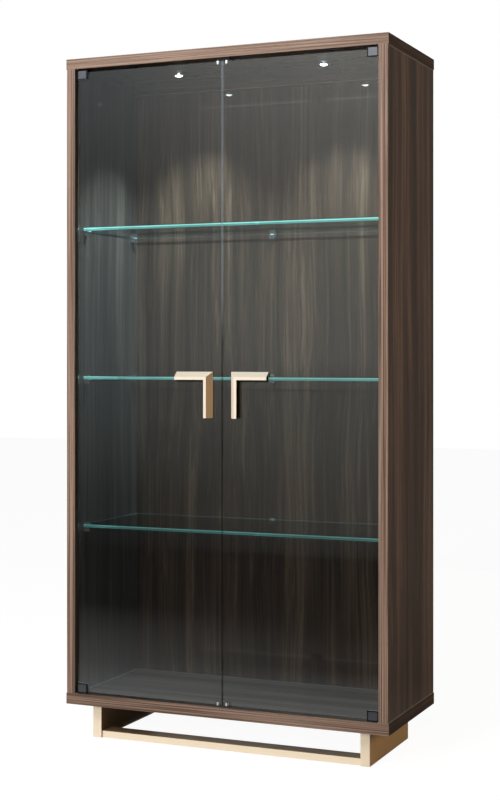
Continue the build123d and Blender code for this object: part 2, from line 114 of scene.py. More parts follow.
@dataclass
class Graph:
    """A shader tree being drawn, with short ways to add its nodes."""

    tree: Tree

    def fill(self, node: Node, inputs: Inputs) -> Node:
        """Links outputs to a node's inputs, or sets the inputs' own values.

        Args:
            node: the node.
            inputs: outputs or values, by the input's name or number; a colour comes without its alpha.

        Returns:
            The node.
        """
        for key, value in inputs.items():
            socket = node.inputs[key]
            if isinstance(value, bpy.types.NodeSocket):
                self.tree.links.new(value, socket)
            elif isinstance(value, tuple) and socket.type == "RGBA":
                socket.default_value = (*value, 1.0)
            else:
                socket.default_value = value
        return node

    def add(self, kind: str, inputs: Inputs | None = None, **settings: object) -> Node:
        """Adds one node.

        Args:
            kind: the node's type.
            inputs: outputs or values for its inputs, by name or number.
            settings: the node's own properties.

        Returns:
            The node.
        """
        node = self.tree.nodes.new(kind)
        for name, value in settings.items():
            setattr(node, name, value)
        return self.fill(node, inputs or {})

    def use(self, group: Tree, inputs: Inputs) -> Sockets:
        """Places a shared group with its own values, and gives its outputs."""
        return self.add("ShaderNodeGroup", inputs, node_tree=group).outputs

    def cloud(self, group: Tree, place: Socket, cell: Pair, ends: Pair = (0.0, 1.0)) -> Socket:
        """The value of a shared noise at a place, in cells of a width and a length, between two ends."""
        inputs = {"Vector": place, "Width": cell[0], "Length": cell[1], "Low": ends[0], "High": ends[1]}
        return self.use(group, inputs)["Value"]

    def math(self, operation: str, a: object, b: object = 0.0, clamp: bool = False) -> Socket:
        """The result of one Math node on a and b."""
        return self.add("ShaderNodeMath", {0: a, 1: b}, operation=operation, use_clamp=clamp).outputs[0]

    def vector(self, operation: str, a: object, b: object) -> Socket:
        """The result of one Vector Math node on a and b."""
        return self.add("ShaderNodeVectorMath", {0: a, 1: b}, operation=operation).outputs[0]

    def parts(self, vector: Socket) -> Sockets:
        """The X, Y and Z of a vector."""
        return self.add("ShaderNodeSeparateXYZ", {0: vector}).outputs

    def noise(self, place: Socket, detail: float, rough: float = 0.5, output: str = "Fac") -> Socket:
        """A noise at a place that is already measured in the noise's own cells."""
        settings = {"Vector": place, "Scale": 1.0, "Detail": detail, "Roughness": rough}
        return self.add("ShaderNodeTexNoise", settings).outputs[output]

    def stretch(self, value: object, low: object, high: object, ends: Ends = (0.0, 1.0)) -> Socket:
        """Carries the range low to high onto the range between two ends, and stops there."""
        return self.add("ShaderNodeMapRange", {0: value, 1: low, 2: high, 3: ends[0], 4: ends[1]}).outputs[0]

    def ramp(self, factor: Socket, stops: tuple[Stop, ...]) -> Socket:
        """Draws a colour ramp.

        Args:
            factor: the place on the ramp, 0 to 1.
            stops: the place and the colour of each stop.

        Returns:
            The colour at the factor.
        """
        node = self.add("ShaderNodeValToRGB", {0: factor})
        points = node.color_ramp.elements
        while len(points) < len(stops):
            points.new(0.5)
        for point, (place, colour) in zip(points, stops):
            point.position = place
            point.color = (*colour, 1.0)
        return node.outputs[0]

    def blend(self, factor: object, a: object, b: object, mode: str = "MIX") -> Socket:
        """The colour between a and b at a factor, or between a and a times b with the mode MULTIPLY."""
        inputs = {0: factor, 6: a, 7: b}
        return self.add("ShaderNodeMix", inputs, data_type="RGBA", blend_type=mode).outputs[2]

    def mix(self, factor: object, first: Node, second: Node) -> Socket:
        """The shader between those of two nodes at a factor."""
        inputs = {0: factor, 1: first.outputs[0], 2: second.outputs[0]}
        return self.add("ShaderNodeMixShader", inputs).outputs[0]

    def bump(self, height: Socket, distance: float, strength: float = 1.0) -> Socket:
        """A normal that stands out by a height of 0 to 1 times a distance in metres."""
        inputs = {"Height": height, "Distance": distance, "Strength": strength}
        return self.add("ShaderNodeBump", inputs).outputs[0]

    def source(self, name: str) -> Socket:
        """One of the piece's own coordinates."""
        return self.add("ShaderNodeTexCoord").outputs[name]

    def turned(self, axis: GrainAxis, shift: Point = ORIGIN) -> Socket:
        """Object coordinates, turned so that an axis of the cabinet lies along Z, then shifted."""
        inputs = {"Vector": self.source("Object"), "Rotation": axis.value, "Location": shift}
        return self.add("ShaderNodeMapping", inputs).outputs[0]

    def facing(self, axis: str, way: float = 0.0) -> Socket:
        """Finds the faces that look along an axis of the cabinet.

        Args:
            axis: X, Y or Z.
            way: 1 or -1 for the faces that look that way along it, 0 for both.

        Returns:
            1 on these faces, else 0.
        """
        part = self.parts(self.source("Normal"))[axis]
        look = self.math("MULTIPLY", part, way) if way else self.math("ABSOLUTE", part)
        return self.math("GREATER_THAN", look, FACING)

    def path(self) -> Sockets:
        """What a ray has met on its way."""
        return self.add("ShaderNodeLightPath").outputs

    def seen(self) -> Socket:
        """Tells the rays that make the picture from those that only bring light.

        Returns:
            1 for rays of the camera and rays that were mirrored or went through glass, else 0.
        """
        path = self.path()
        sent_on = self.math("MAXIMUM", path["Is Glossy Ray"], path["Is Transmission Ray"])
        return self.math("MAXIMUM", path["Is Camera Ray"], sent_on)

    def past_panes(self, left: float) -> Socket:
        """1, or the share of a light that is left for rays that went through more glass than the door."""
        return self.stretch(self.path()["Transmission Depth"], *PANE_FACES, (1.0, left))


def new_material(name: str, look: Inputs | None = None) -> tuple[Material, Graph, Node, Node]:
    """Starts a material.

    Args:
        name: the finish's name.
        look: values for its Principled node.

    Returns:
        The material, its graph, its Principled node and its output node.
    """
    material = bpy.data.materials.new(name)
    material.use_nodes = True
    nodes = material.node_tree.nodes
    graph = Graph(material.node_tree)
    return material, graph, graph.fill(nodes["Principled BSDF"], look or {}), nodes["Material Output"]


def new_group(name: str, inputs: Labels, outputs: Labels) -> tuple[Tree, Graph, Sockets, Node]:
    """Starts a shared effect.

    Args:
        name: the effect's name.
        inputs: the names of its inputs, which are values, but for Vector.
        outputs: the names of the values that it puts out.

    Returns:
        The group, its graph, its inputs by name and its output node.
    """
    group = bpy.data.node_groups.new(name, "ShaderNodeTree")
    for way, labels in (("INPUT", inputs), ("OUTPUT", outputs)):
        for label in labels:
            kind = "NodeSocketVector" if label == "Vector" else "NodeSocketFloat"
            group.interface.new_socket(label, in_out=way, socket_type=kind)
    graph = Graph(group)
    return group, graph, graph.add("NodeGroupInput").outputs, graph.add("NodeGroupOutput")


@dataclass(frozen=True)
class GrainLayer:
    """One layer of wood grain: the input that gives its width, its length over that, and its noise."""

    width: str
    slenderness: float
    detail: float
    span: Pair
    share: float
    rough: float = 0.55


class Effects:
    """The effects that several finishes share, each a node group that is built once."""

    layers: ClassVar[tuple[GrainLayer, ...]] = (
        GrainLayer("Figure", slenderness=30.0, detail=2.0, span=(0.38, 0.62), share=0.40),
        GrainLayer("Streak", slenderness=90.0, detail=3.0, span=(0.44, 0.74), share=0.33),
        GrainLayer("Fibre", slenderness=90.0, detail=2.0, span=(0.28, 0.72), share=0.27),
    )
    drift_cell: ClassVar[Pair] = (0.22, 0.8)
    pore_cell: ClassVar[Pair] = (0.0011, 0.022)
    pore_span: ClassVar[Pair] = (0.60, 0.70)
    fibre_relief: ClassVar[float] = 0.4

    def __init__(self) -> None:
        """Builds every group."""
        self.veneer = self.build_veneer()
        self.lines = self.build_cloud("drawn_lines", detail=3.0, rough=0.6, span=(0.25, 0.75))
        self.marks = self.build_cloud("wipe_marks", detail=4.0, rough=0.6, span=(0.3, 0.7))
        self.speckle = self.build_cloud("fine_speckle", detail=3.0, rough=0.65, span=(0.3, 0.7))

    @staticmethod
    def cells(graph: Graph, place: Socket, width: object, length: object) -> Socket:
        """A place measured in cells that are width wide and length long along Z."""
        size = graph.add("ShaderNodeCombineXYZ", {0: width, 1: width, 2: length}).outputs[0]
        return graph.vector("DIVIDE", place, size)

    @classmethod
    def build_veneer(cls) -> Tree:
        """Builds wood grain along Z: broad zones, streaks and fibres on lines that wander, and dark pores.

        Returns:
            A group from Vector, Figure, Streak, Fibre and Wander, in metres, and Reach, which lengthens the
            grain, to Tone, Pores and Height.
        """
        inputs = ("Vector", "Figure", "Streak", "Fibre", "Wander", "Reach")
        group, g, given, out = new_group("veneer_grain", inputs, ("Tone", "Pores", "Height"))
        drift = g.noise(cls.cells(g, given["Vector"], *cls.drift_cell), 1.0, output="Color")
        noise_middle = (0.5, 0.5, 0.5)
        sway = g.vector("SUBTRACT", drift, noise_middle)
        most = g.add("ShaderNodeCombineXYZ", {0: given["Wander"], 1: given["Wander"]}).outputs[0]
        line = g.vector("ADD", given["Vector"], g.vector("MULTIPLY", sway, most))
        tone: object = 0.0
        for layer in cls.layers:
            width = given[layer.width]
            length = g.math("MULTIPLY", width, g.math("MULTIPLY", given["Reach"], layer.slenderness))
            value = g.noise(cls.cells(g, line, width, length), layer.detail, layer.rough)
            finest = g.stretch(value, *layer.span)
            tone = g.math("ADD", tone, g.math("MULTIPLY", finest, layer.share), clamp=True)
        pores = g.stretch(g.noise(cls.cells(g, line, *cls.pore_cell), 1.0), *cls.pore_span)
        height = g.math("SUBTRACT", g.math("MULTIPLY", finest, cls.fibre_relief), pores)
        g.fill(out, {"Tone": tone, "Pores": pores, "Height": height})
        return group

    @classmethod
    def build_cloud(cls, name: str, detail: float, rough: float, span: Pair) -> Tree:
        """Builds a noise in cells that can be longer along Z: drawn lines, wiped patches or a fine speckle.

        Args:
            name: the group's name.
            detail: how many finer layers the noise has.
            rough: how strong these are.
            span: the part of the noise that is kept.

        Returns:
            A group from Vector, Width and Length, in metres, and Low and High to Value, between these two.
        """
        inputs = ("Vector", "Width", "Length", "Low", "High")
        group, g, given, out = new_group(name, inputs, ("Value",))
        value = g.noise(cls.cells(g, given["Vector"], given["Width"], given["Length"]), detail, rough)
        g.fill(out, {"Value": g.stretch(value, *span, (given["Low"], given["High"]))})
        return group


# Finishes


def scaled(colour: Colour, share: float) -> Colour:
    """A colour times a share."""
    return tuple(share * value for value in colour)


@dataclass(frozen=True)
class VeneerFinish:
    """Lacquered veneer or edge band, with its grain along one axis of the cabinet.

    tones are its dark, middle and light colours. Faces that look the way of inside, an axis and a sign, take
    painted_inside_tones, the same wood's tones with the interior's light and shade painted in, and the full
    coat, and other faces then take outer_coat. painted_highlight lists places, each an axis and a distance
    along it, where a thin line is lighter as a painted highlight, on the inside faces alone where these are
    given. Faces that look along X take end_axis and end_tint, where they are given.
    """

    name: str
    axis: GrainAxis
    shift: Point = ORIGIN
    tones: tuple[Colour, Colour, Colour] = (
        (0.028, 0.0188, 0.0178),
        (0.067, 0.0445, 0.0375),
        (0.165, 0.102, 0.070),
    )
    stops: Point = (0.16, 0.44, 0.80)
    pore: Colour = (0.014, 0.009, 0.007)
    pore_depth: float = 0.5
    figure: float = 0.075
    streak: float = 0.009
    fibre: float = 0.002
    wander: float = 0.04
    reach: float = 1.0
    gloss: Pair = (0.36, 0.46)
    gloss_patch: Pair = (0.18, 0.18)
    relief: float = 0.00004
    relief_strength: float = 0.1
    specular: float = 0.1
    coat: float = 0.9
    coat_roughness: float = 0.02
    outer_coat: float = 0.25
    inside: tuple[str, float] | None = None
    painted_inside_tones: tuple[Colour, Colour, Colour] | None = None
    end_axis: GrainAxis | None = None
    end_tint: float = 1.0
    # painted highlights: thin lighter lines at joints and edges
    painted_highlight: tuple[tuple[str, float], ...] = ()
    painted_highlight_width: float = 0.0016
    painted_highlight_tone: Colour = (0.30, 0.24, 0.19)

    def material(self, effects: Effects) -> Material:
        """Draws the wood.

        Args:
            effects: the shared groups.

        Returns:
            The material.
        """
        material, g, surface, _ = new_material(self.name)
        place = g.turned(self.axis, self.shift)
        if self.end_axis is not None:
            inputs = {0: g.facing("X"), 4: place, 5: g.turned(self.end_axis, self.shift)}
            place = g.add("ShaderNodeMix", inputs, data_type="VECTOR").outputs[1]
        sizes = {"Figure": self.figure, "Streak": self.streak, "Fibre": self.fibre, "Wander": self.wander}
        grain = g.use(effects.veneer, {"Vector": place, **sizes, "Reach": self.reach})
        wood = g.ramp(grain["Tone"], tuple(zip(self.stops, self.tones)))
        coat, inner = self.coat, 1.0
        if self.inside is not None:
            inner = g.facing(*self.inside)
            wood = g.blend(inner, wood, g.ramp(grain["Tone"], tuple(zip(self.stops, self.painted_inside_tones))))
            coat = g.stretch(inner, 0.0, 1.0, (self.outer_coat, self.coat))
        if self.end_tint != 1.0:
            wood = g.blend(g.facing("X"), wood, scaled(WHITE, self.end_tint), "MULTIPLY")
        # painted highlight lines
        for axis, level in self.painted_highlight:
            away = g.math("SUBTRACT", g.parts(g.source("Object"))[axis], level)
            near = g.math("LESS_THAN", g.math("ABSOLUTE", away), self.painted_highlight_width)
            wood = g.blend(g.math("MULTIPLY", near, inner), wood, self.painted_highlight_tone)
        pores = g.math("MULTIPLY", grain["Pores"], self.pore_depth)
        look = {
            "Base Color": g.blend(pores, wood, self.pore),
            "Roughness": g.cloud(effects.marks, place, self.gloss_patch, self.gloss),
            "Normal": g.bump(grain["Height"], self.relief, self.relief_strength),
            "Specular IOR Level": self.specular,
            "Coat Weight": coat,
            "Coat Roughness": self.coat_roughness,
        }
        g.fill(surface, look)
        return material


@dataclass(frozen=True)
class MetalFinish:
    """Drawn, brushed or plated metal with fine lines along one axis, in cells of a width and a length.

    painted_side_shade darkens the faces that look to the right and painted_top_shade those that look up, as
    painted shade. painted_hollow_shade is painted shade inside a folded sheet: on faces that look back, and
    on faces that look to the front from behind hollow_y.
    """

    name: str
    colour: Colour
    shade: Colour
    metallic: float = 1.0
    gloss: Pair = (0.28, 0.38)
    gloss_patch: Pair = (0.04, 0.04)
    axis: GrainAxis = GrainAxis.ACROSS
    texture: Texture = Texture.LINES
    cell: Pair = (0.0007, 0.10)
    relief: float = 0.00001
    relief_strength: float = 0.5
    specular: float = 0.5
    # painted shade on faces that look to the right, and on faces that look up
    painted_side_shade: Colour | None = None
    painted_top_shade: Colour | None = None
    # painted shade inside a folded sheet, where its front flange keeps light out
    painted_hollow_shade: Colour | None = None
    hollow_y: float = 0.0
    back_look: ClassVar[float] = 0.3
    front_look: ClassVar[float] = -0.95

    def material(self, effects: Effects) -> Material:
        """Draws the surface.

        Args:
            effects: the shared groups.

        Returns:
            The material.
        """
        material, g, surface, _ = new_material(self.name)
        place = g.turned(self.axis)
        texture = g.cloud(getattr(effects, self.texture.value), place, self.cell)
        colour = g.blend(texture, self.shade, self.colour)
        # painted shade: faces that look to the right or up are darkened
        for axis, tint in (("X", self.painted_side_shade), ("Z", self.painted_top_shade)):
            if tint is not None:
                colour = g.blend(g.facing(axis, 1.0), colour, tint, "MULTIPLY")
        # painted shade inside the fold
        if self.painted_hollow_shade is not None:
            colour = g.blend(self.inside(g), colour, self.painted_hollow_shade)
        look = {
            "Base Color": colour,
            "Roughness": g.cloud(effects.marks, place, self.gloss_patch, self.gloss),
            "Normal": g.bump(texture, self.relief, self.relief_strength),
            "Metallic": self.metallic,
            "Specular IOR Level": self.specular,
        }
        g.fill(surface, look)
        return material

    def inside(self, g: Graph) -> Socket:
        """Finds the inside of a folded sheet.

        Args:
            g: the material's graph.

        Returns:
            1 inside it, else 0.
        """
        look = g.parts(g.source("Normal"))["Y"]
        deep = g.math("GREATER_THAN", g.parts(g.source("Object"))["Y"], self.hollow_y)
        behind = g.math("MULTIPLY", g.math("LESS_THAN", look, self.front_look), deep)
        return g.math("MAXIMUM", g.math("GREATER_THAN", look, self.back_look), behind)


@dataclass(frozen=True)
class SpeckledFinish(MetalFinish):
    """Paint, moulded plastic, soft pad or felt: drawn as metal is, but not metallic, and speckled."""

    metallic: float = 0.0
    gloss: Pair = (0.40, 0.55)
    gloss_patch: Pair = (0.03, 0.03)
    axis: GrainAxis = GrainAxis.UP
    texture: Texture = Texture.SPECKLE
    cell: Pair = (0.0006, 0.0006)
    relief: float = 0.00004
    relief_strength: float = 1.0


@dataclass(frozen=True)
class GlassFinish:
    """Clear float glass with tinted, polished edges that carry a painted glow.

    passing and edge_passing are what its faces and edges leave of the light that passes straight through.
    glow is a painted glow on the edges, standing in for lamp light that they catch, from low to high, the
    levels of its lower and its upper side. glow_way, the sign of an edge's X, keeps it to the edge at the
    cabinet's middle; else it is clouded a little.
    """

    name: str
    face_axis: str
    tint: Colour
    passing: Colour
    glow: tuple[Stop, ...]
    low: float
    high: float
    edge_tint: Colour
    edge_passing: Colour
    glow_way: float | None = None
    mirror: Colour = WHITE
    middle_reach: ClassVar[float] = 0.05
    cloud_patch: ClassVar[Pair] = (0.12, 0.12)
    cloud_ends: ClassVar[Pair] = (0.7, 1.1)
    slant_power: ClassVar[float] = 5.0

    def material(self, effects: Effects) -> Material:
        """Draws the glass; lamp light and scattered light pass straight through it.

        Args:
            effects: the shared groups.

        Returns:
            The material.
        """
        material, g, surface, output = new_material(self.name)
        edge = g.math("SUBTRACT", 1.0, g.facing(self.face_axis))
        look = {
            "Base Color": g.blend(edge, self.tint, self.edge_tint),
            "Roughness": 0.0,
            "IOR": 1.5,
            "Transmission Weight": 1.0,
            "Specular Tint": self.mirror,
            "Emission Color": self.light(g, edge, effects),
            "Emission Strength": 1.0,
        }
        g.fill(surface, look)
        path = g.path()
        straight = g.math("MAXIMUM", path["Is Shadow Ray"], path["Is Diffuse Ray"])
        facing = g.add("ShaderNodeLayerWeight", {"Blend": 0.5}).outputs["Facing"]
        slant = g.math("POWER", facing, self.slant_power)
        passed = g.blend(slant, g.blend(edge, self.passing, self.edge_passing), BLACK)
        clear = g.add("ShaderNodeBsdfTransparent", {"Color": passed})
        g.fill(output, {"Surface": g.mix(straight, surface, clear)})
        return material

    def light(self, g: Graph, edge: Socket, effects: Effects) -> Socket:
        """Paints a glow on the edges.

        Args:
            g: the material's graph.
            edge: 1 on the edges, 0 on the faces.
            effects: the shared groups.

        Returns:
            The painted glow's colour.
        """
        place = g.turned(GrainAxis.UP)
        parts = g.parts(place)
        if self.glow_way is None:
            lit = g.math("MULTIPLY", edge, g.cloud(effects.marks, place, self.cloud_patch, self.cloud_ends))
        else:
            inward = g.math("MULTIPLY", parts["X"], self.glow_way)
            lit = g.math("MULTIPLY", g.facing("X"), g.math("GREATER_THAN", inward, -self.middle_reach))
        glow = g.ramp(g.stretch(parts["Z"], self.low, self.high), self.glow)
        return g.blend(1.0, glow, lit, "MULTIPLY")


@dataclass(frozen=True)
class LensFinish:
    """A frosted lamp lens that is lit from behind, brightest in its middle, and dim behind a shelf."""

    name: str
    centre: Point
    radius: float
    colour: Colour = (0.95, 0.97, 1.0)
    frost: Colour = (0.85, 0.88, 0.92)
    frost_size: Pair = (0.0005, 0.0005)
    gloss: Pair = (0.25, 0.4)
    light: Colour = (0.86, 0.95, 1.0)
    strength: float = 42.0
    core_share: float = 0.2
    rim_light: float = 0.55
    behind: float = 0.05

    def material(self, effects: Effects) -> Material:
        """Draws the lens.

        Args:
            effects: the shared groups.

        Returns:
            The material, whose light falls off from the lens's middle to its rim.
        """
        material, g, surface, _ = new_material(self.name)
        place = g.turned(GrainAxis.UP, scaled(self.centre, -1.0))
        parts = g.parts(place)
        across = g.math("ADD", g.math("POWER", parts["X"], 2.0), g.math("POWER", parts["Y"], 2.0))
        rim = g.stretch(g.math("SQRT", across), self.core_share * self.radius, self.radius)
        light = g.blend(rim, self.light, scaled(self.light, self.rim_light))
        frost = g.cloud(effects.speckle, place, self.frost_size)
        look = {
            "Emission Color": g.blend(1.0, light, g.past_panes(self.behind), "MULTIPLY"),
            "Emission Strength": self.strength,
            "Base Color": g.blend(frost, self.frost, self.colour),
            "Roughness": g.stretch(frost, 0.0, 1.0, self.gloss),
        }
        g.fill(surface, look)
        return material


def dress(material: Material, *nodes: str) -> None:
    """Gives CAD nodes a finish and reports them.

    Args:
        material: the finish.
        nodes: the nodes' names.
    """
    for name in nodes:
        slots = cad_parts[name].data.materials
        slots.clear()
        slots.append(material)
        log.info("%s: %s", name, material.name)


# Objects and turned pieces


def new_object(name: str, data: bpy.types.ID) -> Thing:
    """Makes an object and links it into the scene.

    Args:
        name: its name.
        data: its mesh, light or camera.

    Returns:
        The object.
    """
    thing = bpy.data.objects.new(name, data)
    bpy.context.scene.collection.objects.link(thing)
    return thing


def new_light(name: str, kind: str, place: Point, watts: float, colour: Colour, mirrored: bool) -> Thing:
    """Hangs a light that the camera doesn't see.

    Args:
        name: its name.
        kind: its type.
        place: where it hangs.
        watts: its power.
        colour: its colour.
        mirrored: whether mirrors and glass show it.

    Returns:
        The object.
    """
    lamp = new_object(name, bpy.data.lights.new(name, kind))
    lamp.data.energy = watts
    lamp.data.color = colour
    lamp.location = place
    lamp.visible_camera = False
    lamp.visible_glossy = lamp.visible_transmission = mirrored
    return lamp


def ring_angles(around: int = 48) -> np.ndarray:
    """The angles of so many points round a ring."""
    return np.linspace(0.0, 2 * pi, around, endpoint=False)


def recess_radius(drive: Drive, size: float, angle: np.ndarray) -> np.ndarray:
    """The outline of a screw's recess.

    A hexagon's radius is half its width across flats over the cosine of the angle to the nearest flat's
    middle. A cross swells from a third of its size to all of it in four narrow lobes, by the eighth power
    of the cosine of twice the angle.

    Args:
        drive: the kind of recess.
        size: half the width across flats, or the reach of the cross, in metres.
        angle: angles round the axis.

    Returns:
        The radius at each angle.
    """
    if drive is Drive.HEX:
        return size / np.cos((angle % (pi / 3)) - pi / 6)
    return size * (1 / 3 + 2 / 3 * np.cos(2 * angle) ** 8)


def ringed_surface(rings: np.ndarray, offset: int) -> tuple[np.ndarray, list[list[int]]]:
    """Closes a stack of rings into one skin.

    Point (i, j) of the skin is point j of ring i; rings join their neighbours by four-sided faces, and the
    first and the last ring are each closed onto a pole at their mean.

    Args:
        rings: an array of rings by points by 3.
        offset: the number of the skin's first point.

    Returns:
        The points, and the faces as lists of point numbers, facing outwards where the rings go round
        counter-clockwise as seen from the last pole.
    """
    count, around = rings.shape[:2]
    points = np.concatenate([rings.reshape(-1, 3), rings[0].mean(0)[None], rings[-1].mean(0)[None]])
    here = np.arange(around)
    after = np.roll(here, -1)
    start = (np.arange(count - 1) * around)[:, None]
    walls = np.stack([start + here, start + after, start + around + after, start + around + here], axis=-1)
    top = (count - 1) * around
    first = np.stack([np.full(around, count * around), after, here], axis=-1)
    last = np.stack([np.full(around, count * around + 1), top + here, top + after], axis=-1)
    parts = (walls.reshape(-1, 4), first, last)
    return points, [face for part in parts for face in (part + offset).tolist()]


def turned_rings(
    place: Point, out: Point, radii: np.ndarray, levels: np.ndarray, angle: np.ndarray
) -> np.ndarray:
    """Carries radii round an axis: each ring lies at its own level, its points at their radii and angles.

    Args:
        place: the middle of the foot.
        out: the axis.
        radii: an array of rings by points.
        levels: each ring's height above the foot.
        angle: each point's angle.

    Returns:
        The rings, as an array of rings by points by 3.
    """
    axis = np.array(out, float)
    aslant = (0.3, 0.8, 0.5)
    side = np.cross(axis, aslant)
    side /= np.linalg.norm(side)
    other = np.cross(axis, side)
    flat = radii[..., None] * (np.cos(angle)[:, None] * side + np.sin(angle)[:, None] * other)
    return np.array(place) + flat + levels[:, None, None] * axis


def screw_head(place: Point, out: Point, radius: float, height: float, drive: Drive) -> np.ndarray:
    """The rings of a screw head that stands on a surface.

    The profile goes out along the foot, up a wall, over a small bevel to the crown, in to the recess's
    outline, down its wall and along its floor; each ring is that radius, or the recess's outline, carried
    round the screw's axis.

    Args:
        place: the middle of the foot.
        out: the direction that the head looks in.
        radius: the head's radius.
        height: the head's height.
        drive: the kind of recess.

    Returns:
        The rings, as an array of rings by points by 3.
    """
    crown, recess, recess_floor, wall_top, floor_level = 0.86, 0.5, 0.94, 0.72, 0.25
    angle = ring_angles()
    mouth = recess_radius(drive, recess * radius, angle)
    wall = radius * np.ones_like(angle)
    radii = np.stack([wall, wall, crown * wall, mouth, recess_floor * mouth])
    levels = np.array([0.0, wall_top, 1.0, 1.0, floor_level]) * height
    return turned_rings(place, out, radii, levels, angle)


def cap_nut(place: Point, out: Point, flats: float, height: float) -> np.ndarray:
    """The rings of a domed cap nut that stands on a surface.

    A hexagon is carried up to just under half the height; from just above that, a circle a little narrower
    than the flats shrinks by the cosine, and rises by the sine, of an angle that goes to just short of a
    quarter turn.

    Args:
        place: the middle of the foot.
        out: the direction that the dome looks in.
        flats: half the width across flats.
        height: the nut's height.

    Returns:
        The rings, as an array of rings by points by 3.
    """
    hexagon_top, dome_foot, dome_width, last_angle, steps = 0.46, 0.52, 0.95, 1.45, 8
    angle = ring_angles()
    outline = recess_radius(Drive.HEX, flats, angle)
    climb = np.linspace(0.0, last_angle, steps)
    dome = dome_width * flats * np.cos(climb)[:, None] * np.ones_like(angle)
    radii = np.concatenate([[outline, outline], dome])
    levels = height * np.concatenate([[0.0, hexagon_top], dome_foot + (1 - dome_foot) * np.sin(climb)])
    return turned_rings(place, out, radii, levels, angle)


def lens_dome(centre: Point, radius: float, rise: float, back: float) -> np.ndarray:
    """The rings of a lamp lens that bulges downward.

    At a share s of its radius the dome lies below its rim by the rise times one less s squared, with nine
    shallow rings cut in it by a sine of s; the back is flat.

    Args:
        centre: the middle of the rim.
        radius: the lens's radius.
        rise: how far its middle lies below its rim.
        back: how far its flat back lies above its rim.

    Returns:
        The rings, from the dome's middle to the back.
    """
    first_share, ring_depth, ring_count, steps = 0.04, 0.025, 9, 22
    share = np.linspace(first_share, 1.0, steps)
    drop = -rise * (1 - share**2) + ring_depth * rise * np.sin(2 * ring_count * pi * share)
    radii = np.concatenate([share * radius, [radius]])
    levels = np.concatenate([drop, [back]])
    angle = ring_angles(around=64)
    circle = np.stack([np.cos(angle), np.sin(angle), np.zeros_like(angle)], axis=-1)
    up = np.array((0.0, 0.0, 1.0))
    return np.array(centre) + radii[:, None, None] * circle + levels[:, None, None] * up


def new_piece(name: str, stacks: list[np.ndarray], material: Material, body: str) -> Thing:
    """Makes one piece of closed ringed skins, in place, and lets it ride a body.

    Args:
        name: the piece's name.
        stacks: the rings of each skin.
        material: its finish.
        body: the body that it rides.

    Returns:
        The object.
    """
    crease = radians(35.0)
    points, faces, offset = [], [], 0
    for rings in stacks:
        skin, sides = ringed_surface(rings, offset)
        points.append(skin)
        faces += sides
        offset += len(skin)
    mesh = bpy.data.meshes.new(name)
    mesh.from_pydata(np.concatenate(points).tolist(), [], faces)
    mesh.materials.append(material)
    mesh.polygons.foreach_set("use_smooth", np.ones(len(faces), bool))
    mesh.set_sharp_from_angle(angle=crease)
    mesh.update()
    piece = new_object(name, mesh)
    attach(piece, body)
    log.info("%s: %d points on %s", name, offset, body)
    return piece


# Sub-assemblies

# Inside faces take their own tones of the same walnut, with the interior's light and shade painted in; the
# floor's are painted lighter where the lamps' light falls on it.
INNER_BACK = {
    "inside": ("Y", -1.0),
    "painted_inside_tones": ((0.031, 0.0197, 0.0130), (0.0635, 0.0390, 0.0247), (0.146, 0.0955, 0.0615)),
    "figure": 0.048,
    "streak": 0.0075,
    "fibre": 0.0034,
    "wander": 0.06,
}
INNER_SIDE = {
    "inside": ("X", 1.0),
    "painted_inside_tones": ((0.046, 0.0385, 0.0335), (0.088, 0.073, 0.0615), (0.167, 0.1355, 0.109)),
    "fibre": 0.0034,
}
INNER_CEILING = {
    "inside": ("Z", -1.0),
    "painted_inside_tones": ((0.046, 0.030, 0.022), (0.070, 0.046, 0.034), (0.095, 0.064, 0.048)),
}
INNER_FLOOR = {
    "inside": ("Z", 1.0),
    "painted_inside_tones": ((0.075, 0.062, 0.052), (0.165, 0.143, 0.126), (0.260, 0.222, 0.192)),
}
BAND = {
    "pore": (0.09, 0.050, 0.034),
    "pore_depth": 0.3,
    "stops": (0.16, 0.46, 0.74),
    "figure": 0.0030,
    "streak": 0.0022,
    "fibre": 0.0013,
    "wander": 0.0006,
    "reach": 5.0,
    "gloss": (0.42, 0.50),
    "specular": 0.3,
    "coat": 0.0,
}
BEECH = {
    "tones": ((0.44, 0.29, 0.17), (0.60, 0.43, 0.27), (0.70, 0.53, 0.36)),
    "pore": (0.33, 0.2, 0.11),
    "figure": 0.03,
    "streak": 0.005,
    "gloss": (0.55, 0.65),
    "coat": 0.0,
}
HANDLE_GOLD = {
    "colour": (0.94, 0.80, 0.645),
    "shade": (0.91, 0.77, 0.615),
    "metallic": 0.1,
    "gloss": (0.34, 0.42),
    "cell": (0.0004, 0.05),
    "specular": 0.15,
    # painted shade: the handle's right-facing webs and its top faces are darkened
    "painted_side_shade": (0.52, 0.38, 0.24),
    "painted_top_shade": (0.745, 0.75, 0.745),
}


@dataclass
class Assembly:
    """A part of the cabinet: the effects that its finishes share, and the finish of its small fittings."""

    effects: Effects
    steel: Material


